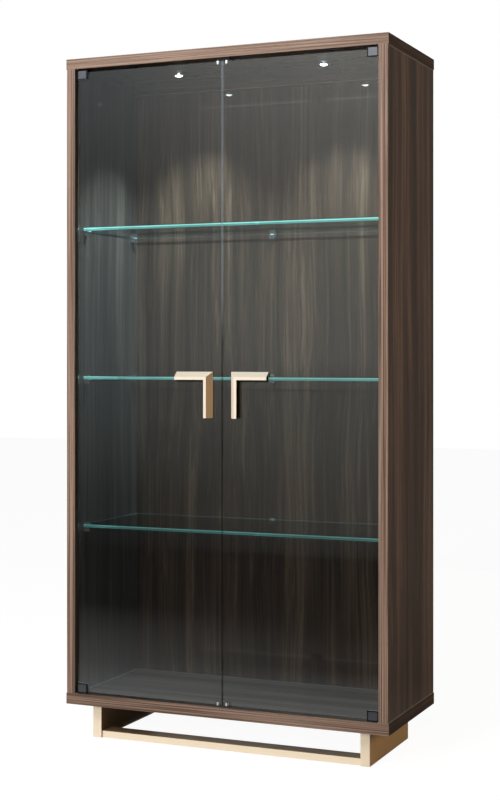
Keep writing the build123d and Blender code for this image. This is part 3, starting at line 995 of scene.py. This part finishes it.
@dataclass
class Carcass(Assembly):
    """The boards, their front bands, the loose tenons and the magnetic catches.

    band_looks gives the grain of each edge's band, and its tone as a share of band_tones, with painted light
    on the top band and painted shade on the bottom one.
    """

    band_looks: ClassVar[dict[str, tuple[GrainAxis, float]]] = {
        "top": (GrainAxis.ACROSS, 1.06),
        "bottom": (GrainAxis.ACROSS, 0.94),
        "left": (GrainAxis.UP, 1.0),
        "right": (GrainAxis.UP, 0.98),
    }
    band_tones: tuple[Colour, ...] = ((0.085, 0.046, 0.029), (0.250, 0.160, 0.114), (0.37, 0.255, 0.193))
    band_step: Point = (0.1, 0.07, 0.6)
    end_tint: float = 0.5
    # painted highlight lines at the side panel's joints and along the cabinet floor's edges
    joint_highlight_width: float = 0.0038
    joint_highlight_tone: Colour = (0.19, 0.15, 0.125)
    floor_highlight_width: float = 0.0045
    floor_highlight_tone: Colour = (0.50, 0.52, 0.50)
    right_figure: float = 0.055
    catch_screw_radius: float = 0.0034
    catch_screw_height: float = 0.0016

    def build(self) -> None:
        """Dresses the carcass and adds the catches' screws."""
        self.boards()
        self.bands()
        tenon = VeneerFinish("beech", GrainAxis.UP, **BEECH)
        dress(tenon.material(self.effects), "panel_tenons", "leg_tenons", "stretcher_tenons")
        plastic = SpeckledFinish("catch_plastic", (0.034, 0.032, 0.031), (0.022, 0.021, 0.020))
        dress(plastic.material(self.effects), "top_catch_body", "bottom_catch_body")
        dress(self.steel, "catch_magnets")
        self.catch_screws()

    def boards(self) -> None:
        """Dresses the boards, each with its own part of the veneer, and with painted highlight lines at their
        joints.
        """
        # painted highlights along the rail's lower edge, the cabinet floor's edges and the side panel's
        # joints
        rail_highlight = ("Z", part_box("rear_top_rail")[0].z)
        floor_highlights = (
            ("X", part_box("left_side_panel")[1].x),
            ("X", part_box("right_side_panel")[0].x),
            ("Y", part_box("back_panel")[0].y),
        )
        joints = (("Z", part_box("top_panel")[0].z), ("Z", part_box("bottom_panel")[1].z))
        floor_highlighted = {"painted_highlight": floor_highlights, "painted_highlight_width": self.floor_highlight_width, "painted_highlight_tone": self.floor_highlight_tone}
        joint_highlighted = {"painted_highlight": joints, "painted_highlight_width": self.joint_highlight_width, "painted_highlight_tone": self.joint_highlight_tone}
        ends = {"end_axis": GrainAxis.DEEP, "end_tint": self.end_tint}
        up, across = GrainAxis.UP, GrainAxis.ACROSS
        looks = {
            "left_side_panel": (up, (0.31, 0.12, 0.4), INNER_SIDE),
            "right_side_panel": (up, (-0.27, 0.33, 1.7), {"figure": self.right_figure, **joint_highlighted}),
            "back_panel": (up, (0.9, 0.5, 0.2), INNER_BACK),
            "rear_top_rail": (across, (0.4, 0.7, 0.6), {**INNER_BACK, "painted_highlight": (rail_highlight,)}),
            "top_panel": (across, (0.15, 0.25, 0.9), {**INNER_CEILING, **ends}),
            "bottom_panel": (across, (0.65, 0.45, 2.9), {**INNER_FLOOR, **ends, **floor_highlighted}),
        }
        for node, (axis, shift, look) in looks.items():
            dress(VeneerFinish(f"walnut_{node}", axis, shift, **look).material(self.effects), node)

    def bands(self) -> None:
        """Dresses the front bands."""
        for edge, (axis, share) in self.band_looks.items():
            tones = tuple(scaled(tone, share) for tone in self.band_tones)
            shift = scaled(self.band_step, len(edge))
            band = VeneerFinish(f"band_{edge}", axis, shift, tones, **BAND)
            dress(band.material(self.effects), f"{edge}_front_band")

    def catch_screws(self) -> None:
        """Sets a cross-head screw into the middle of each catch, from the cabinet's inside."""
        for end, level, out in (("top", 0, (0.0, 0.0, -1.0)), ("bottom", 1, (0.0, 0.0, 1.0))):
            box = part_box(f"{end}_catch_body")
            place = ((box[0].x + box[1].x) / 2, (box[0].y + box[1].y) / 2, box[level].z)
            head = screw_head(place, out, self.catch_screw_radius, self.catch_screw_height, Drive.CROSS)
            new_piece(f"{end}_catch_screw", [head], self.steel, "carcass")


@dataclass
class Shelves(Assembly):
    """The three glass shelves on their supports.

    levels gives each shelf's share of the painted glow on the edges, which stands in for the lamps' light,
    its tint, and what it leaves of light that passes. painted_edge_glow_stops gives places up an edge, and
    the share of painted_edge_glow there.
    """

    levels: ClassVar[dict[str, tuple[float, Colour, Colour]]] = {
        "upper_shelf": (0.55, (0.34, 0.60, 0.68), (0.93, 0.96, 0.96)),
        "middle_shelf": (0.34, (0.45, 0.66, 0.70), (0.77, 0.80, 0.80)),
        "lower_shelf": (0.15, (0.60, 0.75, 0.78), (0.50, 0.52, 0.52)),
    }
    mirror: Colour = (0.40, 0.72, 0.80)
    edge_tint: Colour = (0.12, 0.45, 0.43)
    edge_passing: Colour = (0.04, 0.07, 0.07)
    # painted glow on the shelves' edges, standing in for the lamps' light
    painted_edge_glow: Colour = (0.30, 0.74, 0.70)
    painted_edge_glow_stops: tuple[Pair, ...] = ((0.0, 0.7), (0.35, 0.55), (0.58, 0.55), (0.68, 1.7), (1.0, 1.7))

    def build(self) -> None:
        """Dresses the shelves and their supports; the edges carry a painted glow, stronger nearer the lamps.
        """
        for node, (level, tint, passing) in self.levels.items():
            low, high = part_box(node)
            glow = tuple((place, scaled(self.painted_edge_glow, level * share)) for place, share in self.painted_edge_glow_stops)
            edges = {"edge_tint": self.edge_tint, "edge_passing": self.edge_passing, "mirror": self.mirror}
            glass = GlassFinish(f"glass_{node}", "Z", tint, passing, glow, low.z, high.z, **edges)
            dress(glass.material(self.effects), node)
        bright = {"metallic": 0.85, "gloss": (0.08, 0.14), "relief": 0.000002}
        chrome = MetalFinish("support_chrome", (0.78, 0.81, 0.81), (0.68, 0.71, 0.71), **bright)
        dress(chrome.material(self.effects), "shelf_supports")


@dataclass
class Lamps(Assembly):
    """Two lamps let into the underside of the top."""

    lens_rise: float = 0.0035
    lamp_watts: float = 55.0
    beam: float = 90.0
    light_share: float = 0.8
    light_drop: float = 0.006
    colour: Colour = (0.64, 0.87, 1.0)

    def build(self) -> None:
        """Dresses the lamp bodies, puts domed lenses in them and lights them."""
        metal = MetalFinish("lamp_metal", (0.78, 0.78, 0.77), (0.66, 0.66, 0.65), gloss=(0.22, 0.32))
        for side in Side:
            dress(metal.material(self.effects), f"{side.word}_lamp_body")
            self.lens(side)

    def lens(self, side: Side) -> None:
        """Makes one domed lens, and the light that comes from it.

        Args:
            side: the lamp's side.
        """
        node = f"{side.word}_lamp_lens"
        low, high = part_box(node)
        centre = ((low.x + high.x) / 2, (low.y + high.y) / 2, low.z)
        radius = (high.x - low.x) / 2
        finish = LensFinish(f"{side.word}_lens_light", centre, radius).material(self.effects)
        dome = lens_dome(centre, radius, self.lens_rise, high.z - low.z)
        piece = new_piece(f"{side.word}_lamp_dome", [dome], finish, "carcass")
        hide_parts(node)
        place = (centre[0], centre[1], centre[2] - self.light_drop)
        name = f"{side.word}_lamp_light"
        light = new_light(name, "SPOT", place, self.lamp_watts, self.colour, mirrored=False).data
        light.shadow_soft_size = self.light_share * radius
        light.spot_size = radians(self.beam)
        light.spot_blend = 1.0


@dataclass
class Door(Assembly):
    """One frameless glass door with its corner hinges, handle and strike clips.

    painted_shine gives places up the meeting edge, and the share of painted_shine_hue there: a painted glow
    on the glass edge.
    """

    side: Side
    clear: Colour = (0.945, 0.970, 0.962)
    edge_tint: Colour = (0.012, 0.018, 0.018)
    passing: Colour = (0.57, 0.59, 0.59)
    edge_passing: Colour = (0.10, 0.13, 0.13)
    # painted glow on the door's meeting edge
    painted_shine: tuple[Pair, ...] = (
        (0.0, 0.0),
        (0.56, 0.0),
        (0.64, 0.13),
        (0.80, 0.16),
        (0.93, 0.16),
        (1.0, 0.22),
    )
    painted_shine_hue: Colour = (0.88, 0.97, 1.05)
    screw_radius: float = 0.0030
    screw_height: float = 0.0012
    screw_share: Pair = (0.30, 0.66)
    fixing_inset: float = 0.004
    handle_sheet: float = 0.002
    handle_fold: float = 0.008
    # painted shade inside the handle's fold
    handle_painted_shade: Colour = (0.020, 0.016, 0.011)
    nut_flats: float = 0.0035
    nut_height: float = 0.0072

    def build(self) -> None:
        """Dresses the door's pieces, and adds the clamps' screws and the handle's nuts."""
        word = self.side.word
        low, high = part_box(f"{word}_door_glass")
        glow = tuple((place, scaled(self.painted_shine_hue, share)) for place, share in self.painted_shine)
        edges = {"edge_tint": self.edge_tint, "edge_passing": self.edge_passing, "glow_way": -self.side.value}
        glass = GlassFinish(
            f"{word}_door_clear", "Y", self.clear, self.passing, glow, low.z, high.z, **edges
        )
        matt = {"gloss": (0.45, 0.55), "cell": (0.0009, 0.0009), "specular": 0.12}
        casting = SpeckledFinish(f"{word}_hinge_paint", (0.010, 0.011, 0.014), (0.006, 0.007, 0.009), **matt)
        plated = {"gloss": (0.26, 0.34), "cell": (0.0004, 0.10)}
        nickel = MetalFinish(f"{word}_hinge_nickel", (0.095, 0.098, 0.108), (0.078, 0.081, 0.090), **plated)
        folded = {"painted_hollow_shade": self.handle_painted_shade, "hollow_y": low.y - self.handle_fold}
        gold = MetalFinish(f"{word}_handle_gold", **HANDLE_GOLD, **folded)
        dress(glass.material(self.effects), f"{word}_door_glass")
        dress(casting.material(self.effects), f"{word}_top_hinge_clamp", f"{word}_bottom_hinge_clamp")
        dress(nickel.material(self.effects), f"{word}_hinge_covers")
        dress(gold.material(self.effects), f"{word}_handle")
        dress(self.steel, f"{word}_hinge_pins", f"{word}_handle_screws", f"{word}_strike_clips")
        for end in ("top", "bottom"):
            self.clamp_screws(end)
        self.handle_nuts()

    def handle_nuts(self) -> None:
        """Puts a cap nut on the end of each of the handle's two screws, inside the fold."""
        word = self.side.word
        low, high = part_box(f"{word}_handle_screws")
        inner, outer = sorted((low.x, high.x), key=abs)
        inset = self.side.value * self.fixing_inset
        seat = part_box(f"{word}_handle")[1].y - self.handle_sheet
        spots = (
            (inner + inset, seat, low.z + self.fixing_inset),
            (outer - inset, seat, high.z - self.fixing_inset),
        )
        nuts = [cap_nut(spot, (0.0, -1.0, 0.0), self.nut_flats, self.nut_height) for spot in spots]
        new_piece(f"{word}_handle_nuts", nuts, self.steel, f"{word}_door")

    def clamp_screws(self, end: str) -> None:
        """Sets two socket screws into the back of a hinge clamp.

        Args:
            end: the top or the bottom hinge.
        """
        word = self.side.word
        low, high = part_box(f"{word}_{end}_hinge_clamp")
        level = (low.z + high.z) / 2
        inner, outer = sorted((low.x, high.x), key=abs)
        size = (self.screw_radius, self.screw_height)
        spots = [(inner + share * (outer - inner), high.y, level) for share in self.screw_share]
        heads = [screw_head(spot, (0.0, 1.0, 0.0), *size, Drive.HEX) for spot in spots]
        new_piece(f"{word}_{end}_clamp_screws", heads, self.steel, f"{word}_door")


@dataclass
class Base(Assembly):
    """The two slab legs, the stretcher between them and the glides under them."""

    colour: Colour = (0.99, 0.825, 0.61)
    shade: Colour = (0.96, 0.795, 0.58)
    # painted shade: the left leg's inner side, the right leg's outer side and the stretcher's top are
    # darkened
    shaded: Colour = (0.30, 0.22, 0.125)
    lit: Colour = (0.50, 0.375, 0.22)
    painted_stretcher_shade: Colour = (0.26, 0.20, 0.14)
    metallic: float = 0.1
    gloss: Pair = (0.36, 0.46)
    line: Pair = (0.0006, 0.08)

    def build(self) -> None:
        """Dresses the base; the laminate's lines run up the legs and along the stretcher."""
        common = {"metallic": self.metallic, "gloss": self.gloss, "cell": self.line}
        # painted shade on the legs' right-facing sides and on the stretcher's top
        looks = {
            "left_base_leg": {"axis": GrainAxis.UP, "painted_side_shade": self.shaded},
            "right_base_leg": {"axis": GrainAxis.UP, "painted_side_shade": self.lit},
            "base_stretcher": {"axis": GrainAxis.ACROSS, "painted_top_shade": self.painted_stretcher_shade},
        }
        for node, look in looks.items():
            wrap = MetalFinish(f"gold_{node}", self.colour, self.shade, **common, **look)
            dress(wrap.material(self.effects), node)
        dull = {"gloss": (0.85, 0.95), "cell": (0.0009, 0.0009), "relief": 0.0003}
        felt = SpeckledFinish("glide_felt", (0.22, 0.21, 0.20), (0.13, 0.125, 0.12), **dull)
        dress(felt.material(self.effects), "floor_glides")


# Studio

# The sweep's light on its two sides: distance in front and value on the floor, height and value on the wall.
SWEEP_LEFT_FLOOR = ((0.7, 0.95), (1.2, 0.47), (2.4, 0.05), (4.2, 0.05))
SWEEP_LEFT_WALL = ((0.25, 0.10), (1.1, 0.48), (1.6, 0.50), (2.2, 0.36), (3.0, 0.76), (4.2, 0.60))
SWEEP_RIGHT_FLOOR = ((0.7, 0.76), (1.4, 0.08), (2.2, 0.04), (4.2, 0.05))
SWEEP_RIGHT_WALL = (
    (0.22, 0.32),
    (0.95, 0.57),
    (1.12, 0.74),
    (2.1, 0.70),
    (2.5, 0.98),
    (3.0, 1.72),
    (4.2, 0.90),
)


@dataclass(frozen=True)
class SoftLight:
    """A soft oblong light that is aimed at the cabinet."""

    name: str
    place: Point
    size: Pair
    watts: float
    colour: Colour = WHITE
    mirrored: bool = False


@dataclass
class Studio:
    """White room, soft lights, reflecting sweep in front, dark cards beside and below, and the camera."""

    camera_place: Point = (1.8103, -4.2157, 1.1360)
    camera_turn: float = 23.236
    camera_lens: float = 69.76
    camera_rise: float = -0.0568
    ambient: float = 0.13
    aim: Point = (0.0, 0.0, 1.2)
    lights: ClassVar[tuple[SoftLight, ...]] = (
        SoftLight("key_light", place=(-1.2, -3.0, 3.5), size=(2.6, 1.4), watts=84.0, mirrored=True),
        SoftLight("front_fill", place=(-0.9, -4.5, 1.4), size=(1.5, 1.5), watts=110.0),
        SoftLight("side_fill", place=(3.0, 0.6, 1.3), size=(1.0, 1.0), watts=30.0, colour=(1.0, 0.84, 0.70)),
    )
    flat_points: int = 9
    floor_span: Pair = (-14.0, 14.0)
    floor_level: float = -0.0004
    floor_paint: ClassVar[Inputs] = {"Base Color": (0.45, 0.45, 0.45), "Roughness": 0.9}
    floor_shadow: Colour = (0.16, 0.16, 0.16)
    floor_glow: float = 0.94
    sweep_near: float = 0.7
    sweep_far: float = 4.4
    sweep_bend: float = 0.4
    sweep_top: float = 4.4
    sweep_lift: float = 0.002
    sweep_lines: tuple[Pair, Pair] = ((-0.29, -0.55), (0.44, -0.36))
    sweep_reach: int = 8
    sweep_cool: Colour = (0.93, 1.0, 1.04)
    sweep_warm: Colour = (1.01, 1.0, 0.96)
    sweep_behind: float = 0.25
    card_near: float = 0.44
    card_reach: float = 3.8
    card_height: float = 4.2
    card_lift: float = 0.002
    card_paint: ClassVar[Inputs] = {"Base Color": (0.06, 0.05, 0.04), "Roughness": 0.9}
    card_hue: Colour = (1.0, 0.80, 0.62)
    card_glow: tuple[Pair, ...] = ((0.0, 0.07), (1.0, 0.07))
    laid_glow: tuple[Pair, ...] = ((0.0, 0.10), (0.12, 0.05), (0.25, 0.02), (1.0, 0.07))
    card_angles: Pair = (-52.0, 100.0)
    under_across: Pair = (-0.40, 0.44)
    under_deep: Pair = (-0.10, 0.5)
    under_level: float = 0.001
    # painted shade: a black card under the cabinet, seen only by mirrors and bounced light
    under_shade_paint: ClassVar[Inputs] = {"Base Color": (0.02, 0.02, 0.02), "Roughness": 0.9}

    def build(self) -> None:
        """Sets the world, the lights, the floor, the sweep, the cards and the camera."""
        bpy.context.scene.view_settings.view_transform = "Standard"
        self.world()
        for light in self.lights:
            lamp = new_light(light.name, "AREA", light.place, light.watts, light.colour, light.mirrored)
            lamp.data.shape = "RECTANGLE"
            lamp.data.size, lamp.data.size_y = light.size
            aim = Vector(self.aim) - Vector(light.place)
            lamp.rotation_euler = aim.to_track_quat("-Z", "Y").to_euler()
        self.floor()
        self.front_sweep()
        self.side_cards()
        self.under_shade_card()
        self.camera()

    def world(self) -> None:
        """Makes a world that is white where it is seen or mirrored, and a soft grey as a light."""
        world = bpy.data.worlds.new("white_room")
        world.use_nodes = True
        bpy.context.scene.world = world
        world.node_tree.nodes.clear()
        g = Graph(world.node_tree)
        soft = g.add("ShaderNodeBackground", {"Color": WHITE, "Strength": self.ambient})
        white = g.add("ShaderNodeBackground", {"Color": WHITE, "Strength": 1.0})
        g.add("ShaderNodeOutputWorld", {"Surface": g.mix(g.seen(), soft, white)})

    @staticmethod
    def sheet(name: str, points: np.ndarray, material: Material, along: np.ndarray | None = None) -> Thing:
        """Makes a stage sheet from a grid of points.

        Args:
            name: the sheet's name.
            points: an array of rows by columns by 3.
            material: its finish.
            along: each row's share of the way along the sheet, kept as the V of its UV map; U runs across.
                Without it, the rows are evenly spaced.

        Returns:
            The object.
        """
        rows, columns = points.shape[:2]
        along = np.linspace(0.0, 1.0, rows) if along is None else along
        index = np.arange(rows * columns).reshape(rows, columns)
        corners = np.stack([index[:-1, :-1], index[:-1, 1:], index[1:, 1:], index[1:, :-1]], axis=-1)
        mesh = bpy.data.meshes.new(name)
        mesh.from_pydata(points.reshape(-1, 3).tolist(), [], corners.reshape(-1, 4).tolist())
        places = np.stack([np.tile(np.linspace(0, 1, columns), rows), np.repeat(along, columns)], axis=-1)
        layer = mesh.uv_layers.new(name="along")
        layer.uv.foreach_set("vector", places[corners.ravel()].ravel().astype(np.float32))
        mesh.materials.append(material)
        sheet = new_object(name, mesh)
        return sheet

    def level_grid(self, across: Pair, deep: Pair, level: float) -> np.ndarray:
        """The points of a level sheet: one parameter runs across, the other back."""
        x, y = np.meshgrid(np.linspace(*across, self.flat_points), np.linspace(*deep, self.flat_points))
        return np.stack([x, y, np.full_like(x, level)], axis=-1)

    def floor(self) -> None:
        """Lays a pale floor that stays white to the eye but for the cabinet's shadow."""
        material, g, surface, output = new_material("pale_floor", self.floor_paint)
        shadow = g.add("ShaderNodeBsdfDiffuse", {"Color": self.floor_shadow})
        glow = g.add("ShaderNodeEmission", {"Color": WHITE, "Strength": self.floor_glow})
        white = g.add("ShaderNodeAddShader", {0: shadow.outputs[0], 1: glow.outputs[0]})
        g.fill(output, {"Surface": g.mix(g.seen(), surface, white)})
        self.sheet("floor", self.level_grid(self.floor_span, self.floor_span, self.floor_level), material)

    def profile(self) -> tuple[np.ndarray, np.ndarray, np.ndarray]:
        """The sweep's profile: straight along the floor, a quarter circle, then straight up.

        Returns:
            How far out and how high each point lies, and its share of the way along.
        """
        far, bend, straight, bent = self.sweep_far, self.sweep_bend, 12, 9
        turn = np.linspace(0.0, pi / 2, bent)[1:-1]
        floor, wall = np.linspace(self.sweep_near, far, straight), np.linspace(bend, self.sweep_top, straight)
        out = np.concatenate([floor, far + bend * np.sin(turn), np.full(straight, far + bend)])
        high = np.concatenate([np.zeros(straight), bend * (1 - np.cos(turn)), wall])
        along = np.concatenate([[0.0], np.cumsum(np.hypot(np.diff(out), np.diff(high)))])
        return out, high + self.sweep_lift, along / along[-1]

    def front_sweep(self) -> None:
        """Sets a sweep in front that only mirrors see: its profile is carried across the room.

        Point (i, j) lies as far out and as high as point i of the profile, and across by whole steps j of the
        way between two lines that spread from the cabinet.
        """
        out, high, along = self.profile()
        share = np.linspace(-self.sweep_reach, self.sweep_reach, 2 * self.sweep_reach + 1)
        left, right = (start + slope * out[:, None] for start, slope in self.sweep_lines)
        across = left + share * (right - left)
        front, level = (np.broadcast_to(values[:, None], across.shape) for values in (-out, high))
        points = np.stack([across, front, level], axis=-1)
        sweep = self.sheet("front_sweep", points, self.sweep_light(), along)
        sweep.visible_camera = sweep.visible_diffuse = sweep.visible_shadow = False

    def sweep_light(self) -> Material:
        """Draws the sweep's light, for rays that a surface has mirrored; all others go through.

        Its brightness changes along it, by distance in front on the floor and by height on the wall, and goes
        over from the left lists to the right ones between the two lines. What lies behind glass mirrors it
        more faintly.

        Returns:
            The material.
        """
        bent = (self.sweep_far - self.sweep_near) + self.sweep_bend * pi / 2
        rise = bent - self.sweep_bend
        total = bent + (self.sweep_top - self.sweep_bend)
        material, g, _, output = new_material("sweep_light")
        parts = g.parts(g.add("ShaderNodeUVMap", uv_map="along").outputs[0])
        sides = (
            (SWEEP_LEFT_FLOOR, SWEEP_LEFT_WALL, self.sweep_cool),
            (SWEEP_RIGHT_FLOOR, SWEEP_RIGHT_WALL, self.sweep_warm),
        )
        shades = []
        for floor, wall, hue in sides:
            stops = [((spot - self.sweep_near) / total, scaled(WHITE, value)) for spot, value in floor]
            stops += [((rise + spot) / total, scaled(hue, value)) for spot, value in wall]
            shades.append(g.ramp(parts["Y"], tuple(stops)))
        left, right = ((line + self.sweep_reach) / (2 * self.sweep_reach) for line in (0, 1))
        colour = g.blend(g.stretch(parts["X"], left, right), *shades)
        light = g.add("ShaderNodeEmission", {"Color": colour, "Strength": g.past_panes(self.sweep_behind)})
        mirrored = g.math("GREATER_THAN", g.path()["Glossy Depth"], 0.5)
        clear = g.add("ShaderNodeBsdfTransparent")
        g.fill(output, {"Surface": g.mix(mirrored, clear, light)})
        return material

    def side_cards(self) -> None:
        """Stands a dark warm card to the right and lays another before it: lines carried round the cabinet.

        The laid card is lit beside the leg and again toward the standing one.
        """
        columns, rows = 30, 10
        angle = np.radians(np.linspace(*self.card_angles, columns))
        steps = np.linspace(0.0, 1.0, rows)
        still = np.ones_like(steps)
        laid = (self.card_near + steps * (self.card_reach - self.card_near), self.card_lift * still)
        stood = (self.card_reach * still, self.card_lift + self.card_height * steps)
        cards = (("laid_card", laid, self.laid_glow), ("side_card", stood, self.card_glow))
        for name, (out, high), glow in cards:
            material, g, surface, _ = new_material(f"{name}_paint", self.card_paint)
            share = g.parts(g.add("ShaderNodeUVMap", uv_map="along").outputs[0])["Y"]
            warm = tuple((spot, scaled(self.card_hue, value)) for spot, value in glow)
            g.fill(surface, {"Emission Color": g.ramp(share, warm), "Emission Strength": 1.0})
            turn, reach = np.meshgrid(angle, out)
            level = np.repeat(high[:, None], columns, 1)
            points = np.stack([reach * np.cos(turn), reach * np.sin(turn), level], axis=-1)
            card = self.sheet(name, points, material)
            card.visible_camera = card.visible_transmission = False
            card.visible_diffuse = card.visible_shadow = name == "side_card"

    def under_shade_card(self) -> None:
        """Lays a black card between the legs, painted shade under the cabinet that only mirrors and bounced
        light meet.
        """
        material, *_ = new_material("painted_shade_card", self.under_shade_paint)
        points = self.level_grid(self.under_across, self.under_deep, self.under_level)
        card = self.sheet("under_shade_card", points, material)
        card.visible_camera = card.visible_transmission = card.visible_shadow = False

    def camera(self) -> None:
        """Sets the camera at the photograph's angle."""
        data = bpy.data.cameras.new("camera")
        data.lens = self.camera_lens
        data.shift_y = self.camera_rise
        camera = new_object("camera", data)
        camera.location = self.camera_place
        camera.rotation_euler = (radians(90.0), 0.0, radians(self.camera_turn))
        bpy.context.scene.camera = camera


def main() -> None:
    """Builds the cabinet's sub-assemblies in order, then the studio."""
    logging.basicConfig(level=logging.INFO, format="%(name)s %(message)s")
    effects = Effects()
    zinc = MetalFinish("bright_steel", (0.74, 0.74, 0.73), (0.62, 0.62, 0.61), gloss=(0.20, 0.30))
    brass = MetalFinish("bush_brass", (0.75, 0.58, 0.30), (0.66, 0.50, 0.25), gloss=(0.22, 0.32))
    soft = {"gloss": (0.25, 0.35), "cell": (0.0012, 0.0012), "relief": 0.00001}
    pad = SpeckledFinish("clear_pad", (0.82, 0.86, 0.85), (0.74, 0.79, 0.78), **soft)
    steel = zinc.material(effects)
    for part in (Carcass, Shelves, Lamps):
        part(effects, steel).build()
    for side in Side:
        Door(effects, steel, side).build()
    Base(effects, steel).build()
    dress(brass.material(effects), "hinge_bushes")
    dress(pad.material(effects), "shelf_pads", "left_hinge_pads", "right_hinge_pads")
    Studio().build()


if __name__ == "__main__":
    main()
